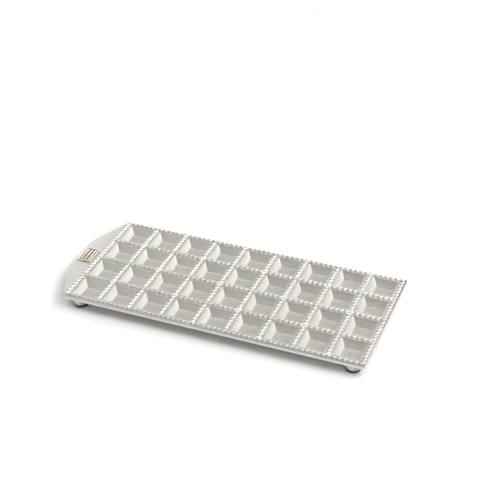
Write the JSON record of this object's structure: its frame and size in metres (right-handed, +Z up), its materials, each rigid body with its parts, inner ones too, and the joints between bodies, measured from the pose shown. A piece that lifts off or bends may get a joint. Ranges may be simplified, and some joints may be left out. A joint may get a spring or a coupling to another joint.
{
  "type": "ravioli mould",
  "caption": "Cast metal tray of square tapered pockets parted by ribs with zigzag cutting crests, a flat end tab with a small plain plate, and rubber feet under its corners.",
  "frame": {"origin": "on the surface that the feet stand on, under the middle of the whole mould's length and width", "axes": "+X along the columns of pockets, away from the end tab; +Y across the rows, from the front long side to the back; +Z up, the way the pockets open"},
  "size_m": [0.315, 0.1346, 0.0151],
  "materials": {
    "cast_aluminium": "satin as cast and tumbled, warm light grey, softly broken edges",
    "pale_gilt_metal": "polished pale gilt plating over a pressed plate, darker in its sunk field",
    "black_rubber": "matt moulded rubber"
  },
  "bodies": {
    "root": {"tray_casting": "cast_aluminium", "badge_plate": "pale_gilt_metal", "rubber_foot_front_left": "black_rubber", "rubber_foot_rear_left": "black_rubber", "rubber_foot_front_right": "black_rubber", "rubber_foot_rear_right": "black_rubber"}
  },
  "joints": []
}
